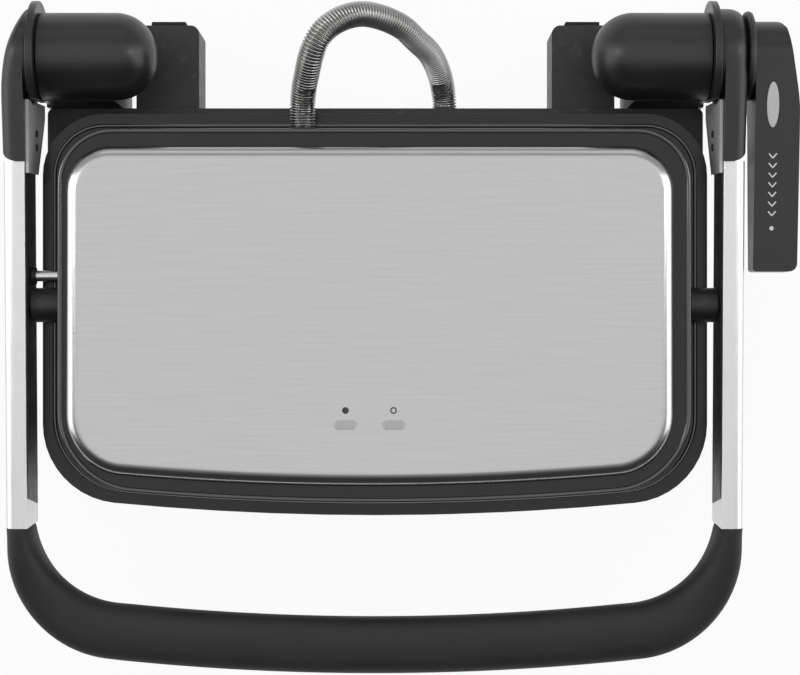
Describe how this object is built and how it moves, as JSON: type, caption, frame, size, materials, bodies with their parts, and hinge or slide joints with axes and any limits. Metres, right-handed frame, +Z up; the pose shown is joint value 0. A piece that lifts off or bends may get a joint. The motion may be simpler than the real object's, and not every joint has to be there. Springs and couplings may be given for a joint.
{
  "type": "sandwich toaster",
  "caption": "Countertop sandwich toaster: a press with ribbed plates whose floating steel-skinned lid hangs between the arms of a hinged carrying handle.",
  "frame": {"origin": "bottom centre of the whole part, on the table", "axes": "+X to the right across the lid, +Y to the rear (hinge side), +Z up"},
  "size_m": [0.3504, 0.3002, 0.1065],
  "materials": {
    "black_plastic": "fine matte black",
    "satin_black": "satin black",
    "dark_sheet": "dark coated steel sheet",
    "plated_steel": "bright plated steel",
    "black_rubber": "matte black rubber",
    "cooking_plate": "non-stick coated casting",
    "reflector_sheet": "bright sheet",
    "cream_plastic": "moulded ceramic-like plastic",
    "bright_aluminium": "satin polished",
    "bush_bronze": "plain sintered bronze",
    "grey_metal": "satin grey",
    "soft_grip": "soft-touch satin black",
    "brushed_skin": "brushed side to side",
    "clear_lens": "clear ribbed plastic",
    "lamp_glass": "small amber lamp",
    "conduit_steel": "bright ribbed metal"
  },
  "bodies": {
    "base": {"base_housing": "black_plastic", "base_pan": "dark_sheet", "base_screws": "plated_steel", "front_feet": "black_rubber", "rear_feet": "black_rubber", "lower_plate": "cooking_plate", "lower_element": "plated_steel", "lower_reflector": "reflector_sheet", "thermostat": "cream_plastic", "terminal_block": "cream_plastic", "cord_gland": "black_rubber", "storage_post_left": "black_plastic", "storage_post_right": "black_plastic", "storage_pads": "black_rubber", "hinge_tower_left": "satin_black", "hinge_tower_right": "satin_black", "hinge_shaft_left": "plated_steel", "hinge_shaft_right": "plated_steel", "conduit_collar_base": "black_plastic", "conduit": "conduit_steel"},
    "handle": {"arm_cap_left": "satin_black", "arm_cap_right": "satin_black", "arm_sleeve_left": "bright_aluminium", "arm_sleeve_right": "bright_aluminium", "arm_strip_left": "black_plastic", "arm_strip_right": "black_plastic", "arm_bar_left": "dark_sheet", "arm_bar_right": "dark_sheet", "hinge_disc_left": "satin_black", "hinge_disc_right": "satin_black", "hinge_bush_left": "bush_bronze", "hinge_bush_right": "bush_bronze", "gusset_left": "grey_metal", "gusset_right": "grey_metal", "gusset_screws": "dark_sheet", "grip": "soft_grip", "stop_pin": "plated_steel", "stop_collar": "black_plastic", "pivot_pin_left": "plated_steel", "pivot_pin_right": "plated_steel"},
    "lid": {"lid_shell": "black_plastic", "lid_skin": "brushed_skin", "pivot_boss_left": "black_plastic", "pivot_boss_right": "black_plastic", "upper_plate": "cooking_plate", "upper_element": "plated_steel", "upper_reflector": "reflector_sheet", "left_lens": "clear_lens", "right_lens": "clear_lens", "lamp_holder": "cream_plastic", "lamps": "lamp_glass", "lid_screws": "plated_steel", "conduit_collar_lid": "black_plastic"},
    "lever": {"lock_lever": "satin_black", "lever_hub": "black_plastic", "lever_inlay": "grey_metal"}
  },
  "joints": [
    {"name": "handle_lift", "type": "hinge", "parent": "base", "child": "handle", "pos_m": [-0.01175, 0.12559, 0.082], "axis": [-1, 0, 0], "range_deg": [0, 100], "deforming": ["conduit"]},
    {"name": "lid_float", "type": "hinge", "parent": "handle", "child": "lid", "pos_m": [-0.01175, 0.01519, 0.07757], "axis": [1, 0, 0], "range_deg": [-3, 3]},
    {"name": "lock_lever", "type": "hinge", "parent": "base", "child": "lever", "pos_m": [-0.01175, 0.12559, 0.082], "axis": [-1, 0, 0], "range_deg": [0, 25]}
  ]
}
